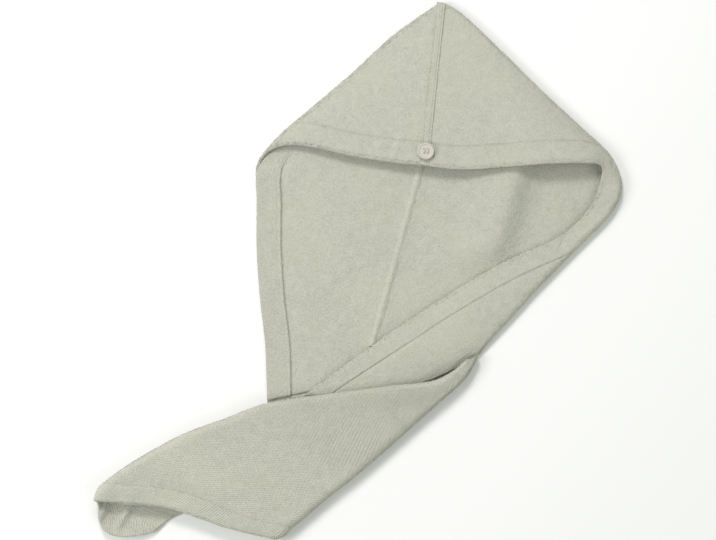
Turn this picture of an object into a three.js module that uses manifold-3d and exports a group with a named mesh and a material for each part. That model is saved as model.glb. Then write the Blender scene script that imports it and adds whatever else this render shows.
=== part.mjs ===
// Hair turban towel, laid flat with its hood open and its tail folded across the front.
// Millimetres. +X is the right side, +Y the peak of the hood, +Z up from the surface it lies on.
// The origin is on that surface, under the middle of the towel's bounding box.

import * as THREE from 'three';
import { mergeVertices } from 'three/addons/utils/BufferGeometryUtils.js';
import Module from 'manifold-3d';

const wasm = await Module();
wasm.setup();

// Driving sizes

const SPAN_X = 525;            // the tables' X columns are shares of this width
const SPAN_Y = 525;            // the tables' Y columns are shares of this depth
const CLOTH = 2.2;             // looped terry cloth, with its pile
const GAP = 0.3;               // clearance between pieces that touch
const HEM_GAP = 0.6;           // clearance between a panel and its turned-in hem
const HEM_ROOM = 0.8;          // share of the way to a near fold that a hem may take
const HEM_WIDTH = 26;          // cloth turned in along every edge
const HEM_CLOTH = 1.8;         // the turned-in layer, pressed by its stitches
const LIP_LIFT = 26;           // most that the hood's front edge stands above the back layer
const FOLD_HEIGHT = 7;         // inner height of the hood's side folds
const BAND_REST = CLOTH * 1.5 + HEM_CLOTH + HEM_GAP + GAP * 2; // the turned-over edge, above its hem
const LIP_BOW = 0.12;          // outward bow of the top layer, as a share of its lift
const BACK_SHARE = 0.6;        // the most of a layer that its fold may take
const BULGE = 5;               // puff of the turned-over cloth beside the tail
const TAIL_UNDER = 9.6;        // height of the tail's lower layer where it crosses the hood
const TAIL_OVER = 17.5;        // height of the tail's upper layer
const TIP_UNDER = 1.6;         // height of the tail's lower layer at the tip
const TIP_OVER = 17;           // height of the tail's upper lip at the tip
const FRONT_LEFT_END = 0.28;   // the hems' ends, as shares of the panels' rows
const FRONT_RIGHT_END = 0.32;
const SIDE_LEFT_START = 0.54;
const SIDE_RIGHT_START = 0.58;
const SEAM_WIDTH = 9;          // flat-felled strip on the outside of the hood
const SEAM_THICK = 1;
const RIDGE_WIDTH = 5;         // seam allowance standing on the inside
const RIDGE_THICK = 2;
const RIDGE_TOP = 0.470;        // places along the seam's line
const RIDGE_BOTTOM = -0.128;
const BUTTON_RADIUS = 9;
const BUTTON_THICK = 3.2;
const BUTTON_RIM = 1.6;        // width of the raised rim
const BUTTON_SLOPE = 0.96;     // from the rim's inner edge to the dish's floor
const BUTTON_DISH = 0.8;       // depth of the dish inside the rim
const HOLE_RADIUS = 1.1;
const HOLE_SPREAD = 1.9;       // from the button's middle to each hole's
const BUTTON_INSET = 15;       // from the hood's front edge to the button's middle

// Mesh steps

const PANEL_ROWS = 26;
const LIP_STEPS = 8;           // from the front edge to a fold
const FOLD_STEPS = 5;          // round a fold
const BACK_STEPS = 9;          // from a fold to the centre seam
const TAIL_ROWS = 24;
const TAIL_STEPS = 9;
const HEM_STEPS = 4;
const RIDGE_STEPS = 16;

// Colours

const TERRY = new THREE.MeshStandardMaterial({ color: 0xc8cbbe, roughness: 0.95, metalness: 0 });
const HEM = new THREE.MeshStandardMaterial({ color: 0xc3c7b8, roughness: 0.95, metalness: 0 });
const PEARL = new THREE.MeshStandardMaterial({ color: 0xd8d0c4, roughness: 0.45, metalness: 0 });

// Names a table's columns. A name that stands twice is an X and a Y.
function table(columns, rows) {
  return rows.map((row) => {
    const named = {};
    columns.forEach((name, k) => {
      named[name] = name in named ? [named[name], row[k]] : row[k];
    });
    return named;
  });
}

// Each panel runs from its hemmed edge, over a side fold, to the centre seam.
// hem, mid and fold are places as shares of the spans, and seam is a place along the seam's line;
// lift is a share of LIP_LIFT and rest a share of BAND_REST, for the height of the hemmed edge;
// round is a share of FOLD_HEIGHT, and puff a share of BULGE.

const PANEL_COLUMNS = [
  'hem', 'hem', 'mid', 'mid', 'fold', 'fold', 'seam', 'lift', 'rest', 'round', 'puff',
];

const LEFT_PANEL = table(PANEL_COLUMNS, [
  [0.132, 0.208, 0.148, 0.370, 0.166, 0.534, 0.514, 0.62, 0, 1, 0],
  [0.070, 0.214, 0.070, 0.340, 0.072, 0.468, 0.462, 0.58, 0, 1, 0],
  [-0.016, 0.228, -0.014, 0.310, -0.012, 0.391, 0.388, 0.66, 0, 1, 0],
  [-0.096, 0.246, -0.094, 0.284, -0.093, 0.322, 0.320, 0.62, 0, 1, 0],
  [-0.150, 0.248, -0.151, 0.260, -0.152, 0.272, 0.270, 0.36, 0, 0.8, 0],
  [-0.186, 0.232, -0.189, 0.232, -0.192, 0.226, 0.224, 0.14, 0, 0.4, 0],
  [-0.204, 0.180, -0.190, 0.180, -0.176, 0.180, 0.180, 0, 0, 0, 0],
  [-0.203, 0.140, -0.189, 0.140, -0.175, 0.140, 0.140, 0, 0, 0, 0],
  [-0.203, 0.040, -0.189, 0.040, -0.175, 0.040, 0.040, 0, 0, 0, 0],
  [-0.196, -0.060, -0.182, -0.060, -0.168, -0.060, -0.060, 0, 0, 0, 0],
  [-0.186, -0.150, -0.172, -0.150, -0.158, -0.149, -0.142, 0, 0, 0, 0],
  [-0.182, -0.262, -0.166, -0.2585, -0.150, -0.255, -0.2206, 0, 0, 0, 0],
]);

const RIGHT_PANEL = table(PANEL_COLUMNS, [
  [0.132, 0.208, 0.148, 0.370, 0.166, 0.534, 0.514, 0.62, 0, 1, 0],
  [0.204, 0.200, 0.205, 0.350, 0.206, 0.512, 0.490, 0.62, 0, 1, 0],
  [0.284, 0.204, 0.284, 0.320, 0.286, 0.437, 0.430, 0.74, 0, 1, 0],
  [0.364, 0.210, 0.365, 0.284, 0.366, 0.358, 0.354, 0.96, 0, 1, 0],
  [0.444, 0.212, 0.446, 0.247, 0.448, 0.282, 0.280, 0.92, 0, 1, 0],
  [0.484, 0.206, 0.494, 0.220, 0.504, 0.228, 0.232, 0.52, 0.2, 1, 0],
  [0.480, 0.164, 0.504, 0.166, 0.526, 0.168, 0.170, 0, 1.5, 1, 0],
  [0.462, 0.124, 0.486, 0.118, 0.504, 0.114, 0.130, 0, 1.2, 1, 0],
  [0.404, 0.068, 0.424, 0.056, 0.440, 0.048, 0.078, 0, 1, 1, 0.1],
  [0.284, 0.012, 0.324, -0.016, 0.356, -0.038, 0.006, 0, 1, 1, 0.3],
  [0.164, -0.060, 0.228, -0.090, 0.294, -0.106, -0.086, 0, 1, 0.9, 0.6],
  [0.044, -0.140, 0.146, -0.166, 0.260, -0.144, -0.148, 0, 1, 0.7, 0.9],
  [-0.108, -0.250, 0.070, -0.243, 0.240, -0.170, -0.2206, 0, 1, 0.3, 0],
]);

// The tail starts under its own top edge, turns over at the lower right, crosses the hood's
// lower edges, rolls under along its upper left side and ends inside. Its last row is the hem.
// join is a share of the line where the panels pass into it, and tip goes from 0 over the hood to 1
// at the hem, for the heights of its two layers.

const TAIL_COLUMNS = [
  'join', 'turn', 'turn', 'near', 'near', 'far', 'far', 'roll', 'roll',
  'below', 'below', 'end', 'end', 'tip',
];

const TAIL = table(TAIL_COLUMNS, [
  [0.96, 0.233, -0.182, 0.22, -0.184, 0.2155, -0.185, 0.206, -0.187, 0.2145, -0.1852, 0.2205, -0.184, 0],
  [0.822, 0.214, -0.214, 0.201, -0.2095, 0.197, -0.208, 0.188, -0.205, 0.1965, -0.208, 0.202, -0.21, 0],
  [0.673, 0.162, -0.262, 0.1575, -0.2495, 0.153, -0.237, 0.148, -0.2235, 0.152, -0.2345, 0.1555, -0.245, 0],
  [0.525, 0.106, -0.312, 0.092, -0.286, 0.078, -0.26, 0.064, -0.233, 0.075, -0.2535, 0.088, -0.278, 0],
  [0.366, 0.05, -0.362, 0.012, -0.334, -0.022, -0.298, -0.05, -0.2475, -0.024, -0.294, 0.01, -0.332, 0],
  [0.238, -0.006, -0.410, -0.074, -0.384, -0.130, -0.346, -0.182, -0.268, -0.140, -0.346, -0.084, -0.412, 0.05],
  [0.149, -0.060, -0.452, -0.130, -0.424, -0.196, -0.378, -0.262, -0.298, -0.216, -0.374, -0.156, -0.444, 0.6],
  [0.084, -0.104, -0.490, -0.180, -0.460, -0.264, -0.408, -0.348, -0.330, -0.296, -0.410, -0.232, -0.470, 0.85],
  [0.05, -0.134, -0.514, -0.216, -0.488, -0.318, -0.432, -0.44, -0.382, -0.384, -0.442, -0.33, -0.482, 1],
  [0.022, -0.15, -0.529, -0.234, -0.506, -0.352, -0.45, -0.506, -0.426, -0.446, -0.48, -0.374, -0.498, 1],
  [0, -0.168, -0.537, -0.262, -0.514, -0.384, -0.474, -0.529, -0.466, -0.488, -0.526, -0.41, -0.522, 1],
]);

// Tables and curves

const HALF = CLOTH / 2;

// The centre seam's line on the back layer: X against Y, with a soft bend under the hood.
const SEAM_LINE = { x: 0.126, y: 0.204, above: 0.13, below: 0.276, soft: 0.03 };

function seamPlace(y) {
  const past = y - SEAM_LINE.y;
  const mean = (SEAM_LINE.above + SEAM_LINE.below) / 2;
  const swing = (SEAM_LINE.above - SEAM_LINE.below) / 2;
  return [SEAM_LINE.x + mean * past + swing * Math.hypot(past, SEAM_LINE.soft), y];
}

// Where the panels' last rows pass into the tail, hidden under the tail's top edge.
const JOIN_LEFT = [-0.182, -0.262];
const JOIN_RIGHT = [0.222, -0.174];

function joinPlace(share) {
  const across = [JOIN_RIGHT[0] - JOIN_LEFT[0], JOIN_RIGHT[1] - JOIN_LEFT[1]];
  const drop = GAP * 2;
  return new THREE.Vector3(
    (JOIN_LEFT[0] + across[0] * share) * SPAN_X,
    (JOIN_LEFT[1] + across[1] * share) * SPAN_Y - drop,
    HALF,
  );
}

function place(share, height) {
  return new THREE.Vector3(share[0] * SPAN_X, share[1] * SPAN_Y, height);
}

// A value between the rows of a table, on a smooth curve through them.
function tableValue(table, column, at) {
  const position = at * (table.length - 1);
  const row = Math.min(Math.floor(position), table.length - 2);
  const part = position - row;
  const before = table[Math.max(row - 1, 0)][column];
  const first = table[row][column];
  const second = table[row + 1][column];
  const after = table[Math.min(row + 2, table.length - 1)][column];
  const blend = (a, b, c, d) => {
    const slopeB = (c - a) / 2;
    const slopeC = (d - b) / 2;
    const square = part * part;
    const cube = square * part;
    return (2 * cube - 3 * square + 1) * b + (cube - 2 * square + part) * slopeB
      + (3 * square - 2 * cube) * c + (cube - square) * slopeC;
  };
  if (typeof first === 'number') {
    return blend(before, first, second, after);
  }
  return first.map((_, axis) => blend(before[axis], first[axis], second[axis], after[axis]));
}

// Points from one place towards the next, leaving out the last.
function stretch(start, middle, finish, steps) {
  const curve = new THREE.QuadraticBezierCurve3(start, middle, finish);
  return Array.from({ length: steps }, (_, step) => curve.getPoint(step / steps));
}

// The bend of a fold: it leaves `from` level, reaches `edge` halfway, and comes back level to `to`.
function bend(from, edge, to, steps) {
  const points = [];
  for (let step = 0; step < steps; step += 1) {
    const turned = (Math.PI * step) / steps;
    const share = (1 - Math.cos(turned)) / 2;
    const reach = Math.sin(turned);
    const inner = from.clone().lerp(to, share);
    const outer = new THREE.Vector3(edge.x, edge.y, inner.z);
    points.push(inner.lerp(outer, reach));
  }
  return points;
}

// The middle of a curve that passes through `through` halfway.
function control(start, through, finish) {
  return through.clone().multiplyScalar(2).sub(start.clone().add(finish).multiplyScalar(0.5));
}

// A place back from a fold's edge, on the way to another place.
function backFrom(edge, towards, distance, height) {
  const way = towards.clone().sub(edge);
  way.z = 0;
  const far = way.length();
  way.setLength(Math.min(distance, far * BACK_SHARE));
  return new THREE.Vector3(edge.x + way.x, edge.y + way.y, height);
}

// The panels' middle surface, one row at a time

function panelRow(table, at, side) {
  const value = (column) => tableValue(table, column, at);
  const lift = Math.max(value('lift'), 0);
  const foldHeight = HALF + Math.max(value('round'), 0) * (FOLD_HEIGHT + CLOTH);
  const hemHeight = HALF + lift * LIP_LIFT + Math.max(value('rest'), 0) * (BAND_REST - HALF);
  const hem = place(value('hem'), hemHeight);
  const mid = place(value('mid'), 0);
  const edge = place(value('fold'), 0);
  const seam = place(seamPlace(value('seam')), HALF);
  for (const point of [hem, mid, edge, seam]) {
    point.x += side * GAP;
  }
  const bow = (foldHeight - HALF) / 2;
  const upper = backFrom(edge, mid, bow, foldHeight);
  const lower = backFrom(edge, seam, bow, HALF);
  mid.z = (hem.z + upper.z) / 2 + value('puff') * BULGE + lift * LIP_LIFT * LIP_BOW;
  return [
    ...stretch(hem, control(hem, mid, upper), upper, LIP_STEPS),
    ...bend(upper, edge, lower, FOLD_STEPS),
    ...stretch(lower, lower.clone().lerp(seam, 0.5), seam, BACK_STEPS),
    seam,
  ];
}

function panelGrid(table, side) {
  return Array.from({ length: PANEL_ROWS + 1 }, (_, row) => panelRow(table, row / PANEL_ROWS, side));
}

function tailRow(at) {
  const value = (column) => tableValue(TAIL, column, at);
  const tip = THREE.MathUtils.clamp(value('tip'), 0, 1);
  const over = THREE.MathUtils.lerp(TAIL_OVER, TIP_OVER, tip);
  const under = THREE.MathUtils.lerp(TAIL_UNDER, TIP_UNDER, tip);
  const join = joinPlace(value('join'));
  const turn = place(value('turn'), 0);
  const near = place(value('near'), over);
  const far = place(value('far'), over);
  const roll = place(value('roll'), 0);
  const below = place(value('below'), under);
  const end = place(value('end'), under);
  const lower = backFrom(turn, join, (over - HALF) / 2, HALF);
  const upper = backFrom(turn, near, (over - HALF) / 2, over);
  const rollUpper = backFrom(roll, far, (over - under) / 2, over);
  const rollLower = backFrom(roll, below, (over - under) / 2, under);
  const top = new THREE.CatmullRomCurve3([upper, near, far, rollUpper], false, 'centripetal');
  return [
    ...stretch(join, join.clone().lerp(lower, 0.5), lower, BACK_STEPS),
    ...bend(lower, turn, upper, FOLD_STEPS),
    ...Array.from({ length: TAIL_STEPS }, (_, step) => top.getPoint(step / TAIL_STEPS)),
    ...bend(rollUpper, roll, rollLower, FOLD_STEPS),
    ...stretch(rollLower, control(rollLower, below, end), end, LIP_STEPS),
    end,
  ];
}

function tailGrid() {
  return Array.from({ length: TAIL_ROWS + 1 }, (_, row) => tailRow(row / TAIL_ROWS));
}

// Surfaces to solids

function gridNormals(grid) {
  const rows = grid.length;
  const columns = grid[0].length;
  return grid.map((line, row) => line.map((_, column) => {
    const alongRow = grid[row][Math.min(column + 1, columns - 1)].clone()
      .sub(grid[row][Math.max(column - 1, 0)]);
    const alongColumn = grid[Math.min(row + 1, rows - 1)][column].clone()
      .sub(grid[Math.max(row - 1, 0)][column]);
    const normal = alongRow.cross(alongColumn);
    if (row === 0) {
      normal.x = 0; // the first row is the centre seam, so its wall stays upright
    }
    return normal.normalize();
  }));
}

// A wall of the given thickness whose middle lies `shift` off the grid, along its normals.
function wall(grid, thickness, shift = 0) {
  const normals = gridNormals(grid);
  const rows = grid.length;
  const columns = grid[0].length;
  const positions = [];
  const faces = [];
  for (const side of [shift + thickness / 2, shift - thickness / 2]) {
    grid.forEach((line, row) => line.forEach((point, column) => {
      const moved = point.clone().addScaledVector(normals[row][column], side);
      positions.push(moved.x, moved.y, Math.max(moved.z, 0));
    }));
  }
  const index = (layer, row, column) => (layer * rows + row) * columns + column;
  const quad = (a, b, c, d) => faces.push(a, b, c, a, c, d);
  for (let row = 0; row < rows - 1; row += 1) {
    for (let column = 0; column < columns - 1; column += 1) {
      quad(index(0, row, column), index(0, row, column + 1),
        index(0, row + 1, column + 1), index(0, row + 1, column));
      quad(index(1, row, column), index(1, row + 1, column),
        index(1, row + 1, column + 1), index(1, row, column + 1));
    }
  }
  for (let column = 0; column < columns - 1; column += 1) {
    const last = rows - 1;
    quad(index(0, 0, column), index(1, 0, column), index(1, 0, column + 1), index(0, 0, column + 1));
    quad(index(0, last, column), index(0, last, column + 1),
      index(1, last, column + 1), index(1, last, column));
  }
  for (let row = 0; row < rows - 1; row += 1) {
    const last = columns - 1;
    quad(index(0, row, 0), index(0, row + 1, 0), index(1, row + 1, 0), index(1, row, 0));
    quad(index(0, row, last), index(1, row, last), index(1, row + 1, last), index(0, row + 1, last));
  }
  const geometry = new THREE.BufferGeometry();
  geometry.setAttribute('position', new THREE.Float32BufferAttribute(positions, 3));
  geometry.setIndex(faces);
  return outward(geometry);
}

// Turns a closed mesh's faces outwards.
function outward(geometry) {
  const position = geometry.getAttribute('position');
  const index = geometry.getIndex();
  const corner = [new THREE.Vector3(), new THREE.Vector3(), new THREE.Vector3()];
  let volume = 0;
  for (let face = 0; face < index.count; face += 3) {
    corner.forEach((point, k) => point.fromBufferAttribute(position, index.getX(face + k)));
    volume += corner[0].dot(corner[1].clone().cross(corner[2]));
  }
  if (volume < 0) {
    const turned = Array.from(index.array);
    for (let face = 0; face < turned.length; face += 3) {
      [turned[face + 1], turned[face + 2]] = [turned[face + 2], turned[face + 1]];
    }
    geometry.setIndex(turned);
  }
  geometry.computeVertexNormals();
  return geometry;
}

function solid(geometry) {
  const bare = geometry.clone();
  bare.deleteAttribute('normal');
  bare.deleteAttribute('uv');
  const merged = mergeVertices(bare, 1e-4);
  return new wasm.Manifold(new wasm.Mesh({
    numProp: 3,
    vertProperties: new Float32Array(merged.getAttribute('position').array),
    triVerts: new Uint32Array(merged.getIndex().array),
  }));
}

function geometryOf(manifold) {
  const mesh = manifold.getMesh();
  const geometry = new THREE.BufferGeometry();
  geometry.setAttribute('position', new THREE.Float32BufferAttribute(mesh.vertProperties, 3));
  geometry.setIndex(Array.from(mesh.triVerts));
  geometry.computeVertexNormals();
  return geometry;
}

// Strips that follow a panel

// Places at some distances along a row, from its start.
function alongRow(line, distances) {
  const path = new THREE.CurvePath();
  for (let k = 0; k < line.length - 1; k += 1) {
    path.add(new THREE.LineCurve3(line[k], line[k + 1]));
  }
  const total = path.getLength();
  return distances.map((distance) => path.getPoint(Math.min(distance / total, 1)));
}

// The length of a row's first steps.
function lengthOf(line, steps) {
  let total = 0;
  for (let k = 0; k < steps; k += 1) {
    total += line[k].distanceTo(line[k + 1]);
  }
  return total;
}

// The cloth turned in along the start of each row, on the side that `inside` gives. With `steps`,
// it narrows where a row has less room before its fold.
function hemStrip(lines, inside, steps = 0) {
  const grid = lines.map((line) => {
    const room = steps ? lengthOf(line, steps) * HEM_ROOM : HEM_WIDTH;
    const width = Math.min(HEM_WIDTH, room) - GAP;
    const distances = Array.from({ length: HEM_STEPS + 1 }, (_, step) => GAP + (width * step) / HEM_STEPS);
    return alongRow(line, distances);
  });
  return wall(grid, HEM_CLOTH, inside * ((CLOTH + HEM_CLOTH) / 2 + HEM_GAP));
}

// Some of a grid's rows, given as shares of its length.
function rowsBetween(grid, from, to) {
  const last = grid.length - 1;
  return grid.slice(Math.round(from * last), Math.round(to * last) + 1);
}

// Lines that start on the tail's hem and run up its upper layer.
function tailHemLines(grid) {
  const first = BACK_STEPS + FOLD_STEPS + 1;
  const last = first + TAIL_STEPS - 2;
  const lines = [];
  for (let column = first; column <= last; column += 1) {
    lines.push(grid.map((line) => line[column]).reverse());
  }
  return lines;
}

// The felled seam lies across both panels, from the hood's front edge to its peak.
function crownSeam() {
  const reach = LIP_STEPS + 1;
  const rowWidth = (LEFT_PANEL[0].hem[0] - LEFT_PANEL[1].hem[0]) * SPAN_X;
  const rowShare = 1 / (LEFT_PANEL.length - 1);
  const half = (SEAM_WIDTH / 2 / rowWidth) * rowShare;
  const left = [half, half / 2].map((at) => panelRow(LEFT_PANEL, at, -1).slice(0, reach));
  const right = [half / 2, half].map((at) => panelRow(RIGHT_PANEL, at, 1).slice(0, reach));
  const middle = panelRow(LEFT_PANEL, 0, -1).slice(0, reach);
  middle.forEach((point) => { point.x += GAP; });
  return wall([...left, middle, ...right], SEAM_THICK, -(CLOTH + SEAM_THICK) / 2 - GAP);
}

// The seam's allowance stands on the back layer and runs down to the turned-over band.
function innerSeam() {
  const height = CLOTH + GAP + RIDGE_THICK / 2;
  const rows = [];
  for (let step = 0; step <= RIDGE_STEPS; step += 1) {
    const along = THREE.MathUtils.lerp(RIDGE_TOP, RIDGE_BOTTOM, step / RIDGE_STEPS);
    const middle = place(seamPlace(along), height);
    rows.push([-1, 0, 1].map((across) => new THREE.Vector3(
      middle.x + (across * RIDGE_WIDTH) / 2, middle.y, height)));
  }
  return wall(rows, RIDGE_THICK);
}

// The button

function button() {
  const profile = [
    [0, 0],
    [BUTTON_RADIUS - BUTTON_RIM / 2, 0],
    [BUTTON_RADIUS, BUTTON_THICK / 2],
    [BUTTON_RADIUS - BUTTON_RIM / 2, BUTTON_THICK],
    [BUTTON_RADIUS - BUTTON_RIM, BUTTON_THICK],
    [BUTTON_RADIUS - BUTTON_RIM - BUTTON_SLOPE, BUTTON_THICK - BUTTON_DISH],
    [0, BUTTON_THICK - BUTTON_DISH],
  ].map(([radius, height]) => new THREE.Vector2(radius, height));
  const disc = new THREE.LatheGeometry(profile, 32).rotateX(Math.PI / 2);
  let body = solid(outward(disc));
  for (const [x, y] of [[1, 1], [-1, 1], [-1, -1], [1, -1]]) {
    const hole = new THREE.CylinderGeometry(HOLE_RADIUS, HOLE_RADIUS, BUTTON_THICK * 3, 12)
      .rotateX(Math.PI / 2)
      .translate(x * HOLE_SPREAD, y * HOLE_SPREAD, 0);
    body = body.subtract(solid(hole));
  }
  return geometryOf(body);
}

// The button's middle is on the seam, and it lies flat on the seam's strip.
function buttonSeat(line) {
  const reach = BUTTON_RADIUS / 2;
  const [near, seat, far] = alongRow(line, [BUTTON_INSET - reach, BUTTON_INSET, BUTTON_INSET + reach]);
  const slope = Math.atan2(far.z - near.z, far.y - near.y);
  seat.x += GAP;
  const lift = CLOTH / 2 + SEAM_THICK + GAP * 3;
  seat.y -= Math.sin(slope) * lift;
  seat.z += Math.cos(slope) * lift;
  return { seat, slope };
}

// The solids

const leftGrid = panelGrid(LEFT_PANEL, -1);
const rightGrid = panelGrid(RIGHT_PANEL, 1);
const tail = tailGrid();

const group = new THREE.Group();

function add(name, geometry, material) {
  const mesh = new THREE.Mesh(geometry, material);
  mesh.name = name;
  group.add(mesh);
  return mesh;
}

add('left_panel', wall(leftGrid, CLOTH), TERRY);
add('right_panel', wall(rightGrid, CLOTH), TERRY);
add('tail', wall(tail, CLOTH), TERRY);
add('front_hem_left', hemStrip(rowsBetween(leftGrid, 0, FRONT_LEFT_END), -1), HEM);
add('front_hem_right', hemStrip(rowsBetween(rightGrid, 0, FRONT_RIGHT_END), 1), HEM);
add('side_hem_left', hemStrip(rowsBetween(leftGrid, SIDE_LEFT_START, 1), -1), HEM);
add('side_hem_right', hemStrip(rowsBetween(rightGrid, SIDE_RIGHT_START, 1), 1, LIP_STEPS), HEM);
add('tail_hem', hemStrip(tailHemLines(tail), -1), HEM);
add('crown_seam', crownSeam(), HEM);
add('inner_seam', innerSeam(), HEM);

const seat = buttonSeat(leftGrid[0]);
const fastener = add('button', button(), PEARL);
fastener.position.copy(seat.seat);
fastener.rotation.x = seat.slope;

export default group;
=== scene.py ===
"""A hair turban towel of looped terry cloth, laid flat with its hood open and its tail folded across."""
import math

import bmesh
import bpy
import numpy as np
from bpy.props import FloatProperty, FloatVectorProperty, IntProperty, PointerProperty
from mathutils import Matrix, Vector


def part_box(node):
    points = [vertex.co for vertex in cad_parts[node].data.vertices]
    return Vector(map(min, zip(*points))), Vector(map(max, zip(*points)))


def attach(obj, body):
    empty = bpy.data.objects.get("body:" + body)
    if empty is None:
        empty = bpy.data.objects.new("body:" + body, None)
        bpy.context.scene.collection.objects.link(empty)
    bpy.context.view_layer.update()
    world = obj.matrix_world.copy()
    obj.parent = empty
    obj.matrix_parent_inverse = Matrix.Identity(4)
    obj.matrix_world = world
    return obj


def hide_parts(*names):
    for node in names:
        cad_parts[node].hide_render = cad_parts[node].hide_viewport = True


bl_info = {
    "name": "Hair turban towel",
    "version": (1, 0, 0),
    "blender": (4, 5, 0),
    "location": "3D View > Sidebar > Towel",
    "description": "Builds the cloth, hems, seams, stitches, pile and button of a hair turban towel",
    "category": "Add Mesh",
}

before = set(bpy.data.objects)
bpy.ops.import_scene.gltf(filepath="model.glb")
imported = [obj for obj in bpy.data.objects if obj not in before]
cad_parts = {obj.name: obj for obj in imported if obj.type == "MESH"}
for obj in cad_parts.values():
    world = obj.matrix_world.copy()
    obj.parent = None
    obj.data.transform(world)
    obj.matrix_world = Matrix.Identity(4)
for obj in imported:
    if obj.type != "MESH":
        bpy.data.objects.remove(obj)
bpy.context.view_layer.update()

# Sizes

MM = 0.001
SPAN = 525 * MM
CLOTH = 2.2 * MM
HALF = CLOTH / 2
GAP = 0.3 * MM
HEM_WIDTH = 26 * MM
HEM_CLOTH = 1.8 * MM
HEM_GAP = 0.6 * MM
LIP_LIFT = 26 * MM
FOLD_HEIGHT = 7 * MM
BAND_REST = CLOTH * 1.5 + HEM_CLOTH + HEM_GAP + GAP * 2
BULGE = 5 * MM
LIP_BOW = 0.12
SIDE_GAP = GAP * 0.4
HEM_LIFT = (CLOTH + HEM_CLOTH) / 2 + 0.1 * MM
TAIL_UNDER = 9.6 * MM
TAIL_OVER = 17.5 * MM
TIP_UNDER = 1.6 * MM
TIP_OVER = 17 * MM
NOTCH_DROP = 4.5 * MM
NOTCH_SHARE = 0.15
STITCH_IN = 24 * MM
SEAM_HALF = 4.6 * MM
SEAM_RISE = 1.2 * MM
FINE_PILE = 3.2 * MM
BROAD_PILE = 9 * MM
LOOP_HEIGHT = 1.3 * MM
LOOP_RADIUS = 0.17 * MM
PHOTO_WIDTH = 716
PHOTO_PIXEL = 1.05 * MM

# Each panel's rows: hem, mid and fold are places as shares of the span, seam is a place along the
# seam's line, lift is a share of LIP_LIFT, rest of BAND_REST, round of FOLD_HEIGHT, puff of BULGE.

PANEL_COLUMNS = (
    "hem_x", "hem_y", "mid_x", "mid_y", "fold_x", "fold_y", "seam", "lift", "rest", "round", "puff",
)

LEFT_PANEL = (
    (0.132, 0.208, 0.148, 0.370, 0.166, 0.534, 0.514, 0.62, 0, 1, 0),
    (0.070, 0.214, 0.070, 0.340, 0.072, 0.468, 0.462, 0.54, 0, 1, 0),
    (-0.016, 0.228, -0.014, 0.310, -0.012, 0.391, 0.388, 0.50, 0, 1, 0),
    (-0.096, 0.246, -0.094, 0.284, -0.093, 0.322, 0.320, 0.42, 0, 1, 0),
    (-0.150, 0.248, -0.151, 0.260, -0.152, 0.272, 0.270, 0.24, 0, 0.8, 0),
    (-0.188, 0.228, -0.191, 0.228, -0.195, 0.222, 0.222, 0.09, 0, 0.4, 0),
    (-0.204, 0.186, -0.204, 0.186, -0.204, 0.186, 0.186, 0, 0, 0, 0),
    (-0.203, 0.140, -0.203, 0.140, -0.203, 0.140, 0.140, 0, 0, 0, 0),
    (-0.203, 0.040, -0.203, 0.040, -0.203, 0.040, 0.040, 0, 0, 0, 0),
    (-0.196, -0.060, -0.196, -0.060, -0.196, -0.060, -0.060, 0, 0, 0, 0),
    (-0.186, -0.150, -0.186, -0.150, -0.186, -0.150, -0.142, 0, 0, 0, 0),
    (-0.182, -0.262, -0.182, -0.262, -0.182, -0.262, -0.2206, 0, 0, 0, 0),
)

RIGHT_PANEL = (
    (0.132, 0.208, 0.148, 0.370, 0.166, 0.534, 0.514, 0.62, 0, 1, 0),
    (0.204, 0.200, 0.205, 0.350, 0.206, 0.512, 0.490, 0.62, 0, 1, 0),
    (0.284, 0.204, 0.284, 0.320, 0.286, 0.437, 0.430, 0.74, 0, 1, 0),
    (0.364, 0.210, 0.365, 0.284, 0.366, 0.358, 0.354, 0.96, 0, 1, 0),
    (0.444, 0.212, 0.446, 0.247, 0.448, 0.282, 0.280, 0.92, 0, 1, 0),
    (0.484, 0.206, 0.494, 0.220, 0.504, 0.228, 0.232, 0.52, 0.2, 1, 0),
    (0.480, 0.164, 0.504, 0.166, 0.526, 0.168, 0.170, 0, 1.5, 1, 0),
    (0.462, 0.124, 0.486, 0.118, 0.504, 0.114, 0.130, 0, 1.2, 1, 0),
    (0.404, 0.068, 0.424, 0.056, 0.440, 0.048, 0.078, 0, 1, 1, 0.1),
    (0.284, 0.012, 0.324, -0.016, 0.356, -0.038, 0.006, 0, 1, 1, 0.3),
    (0.164, -0.060, 0.228, -0.090, 0.294, -0.106, -0.086, 0, 1, 0.9, 0.6),
    (0.044, -0.140, 0.146, -0.166, 0.260, -0.144, -0.148, 0, 1, 0.7, 0.9),
    (-0.108, -0.250, 0.070, -0.243, 0.240, -0.170, -0.2206, 0, 1, 0.3, 0),
)

# The tail's rows, from the notch at the right to the hem at the lower left: join is a share of the
# line where the panels pass into the tail, and the rest are places as shares of the span.

TAIL_COLUMNS = (
    "join", "turn_x", "turn_y", "near_x", "near_y", "far_x", "far_y",
    "roll_x", "roll_y", "below_x", "below_y", "end_x", "end_y", "tip",
)

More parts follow.
